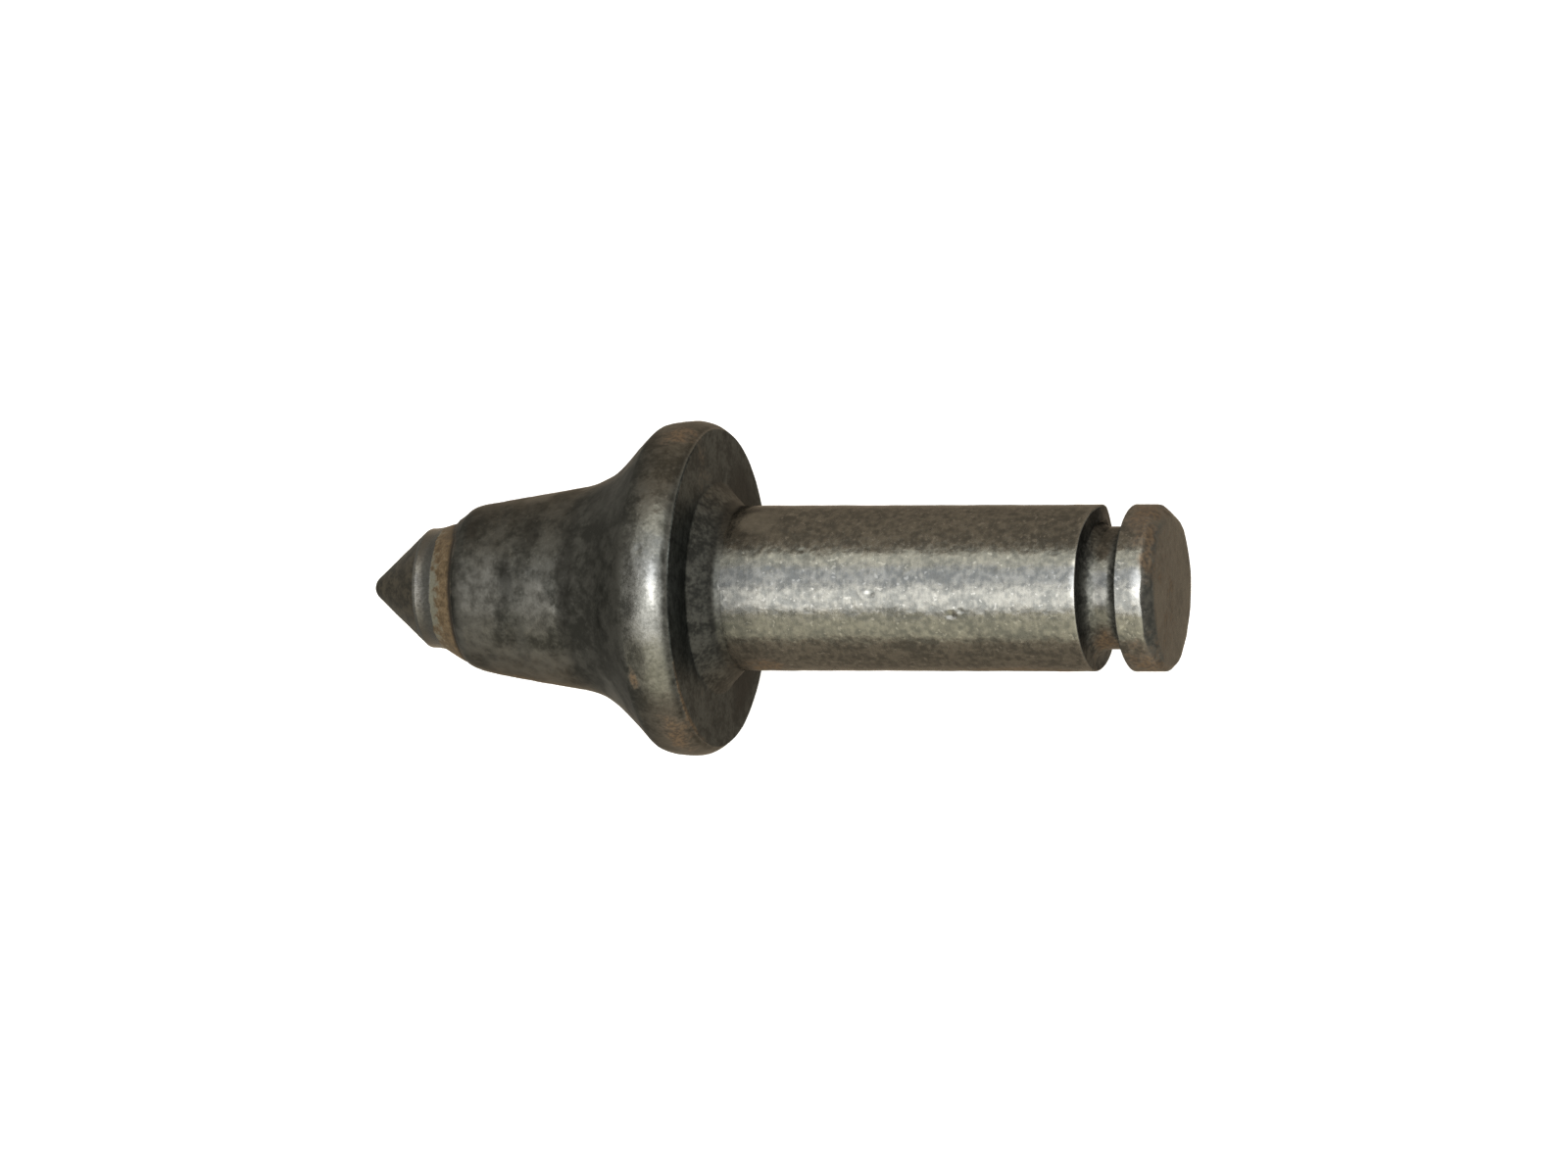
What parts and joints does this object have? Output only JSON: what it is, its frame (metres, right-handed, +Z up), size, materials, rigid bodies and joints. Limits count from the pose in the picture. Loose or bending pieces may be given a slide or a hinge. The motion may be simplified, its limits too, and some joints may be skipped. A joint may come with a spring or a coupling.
{
  "type": "conical cutting pick",
  "caption": "Conical cutting pick with a brazed carbide tip, a flared collar that bears on the holder, and a plain round shank with a retainer groove.",
  "frame": {"origin": "centre of the seat, the flat rear face of the collar that bears on the holder", "axes": "+X along the pick's axis from the seat towards the end of the shank, with the tip at -X; +Z up, and the pick is round, so Y and Z are free"},
  "size_m": [0.1269, 0.0508, 0.0508],
  "materials": {
    "forged_steel": "dark heat-treated forging, satin, with scale and brown oxide",
    "cemented_carbide": "sintered grey carbide, satin",
    "braze_filler": "dull bronze-coloured filler with flux stains"
  },
  "bodies": {
    "root": {"steel_body": "forged_steel", "carbide_tip": "cemented_carbide", "braze_joint": "braze_filler"}
  },
  "joints": []
}
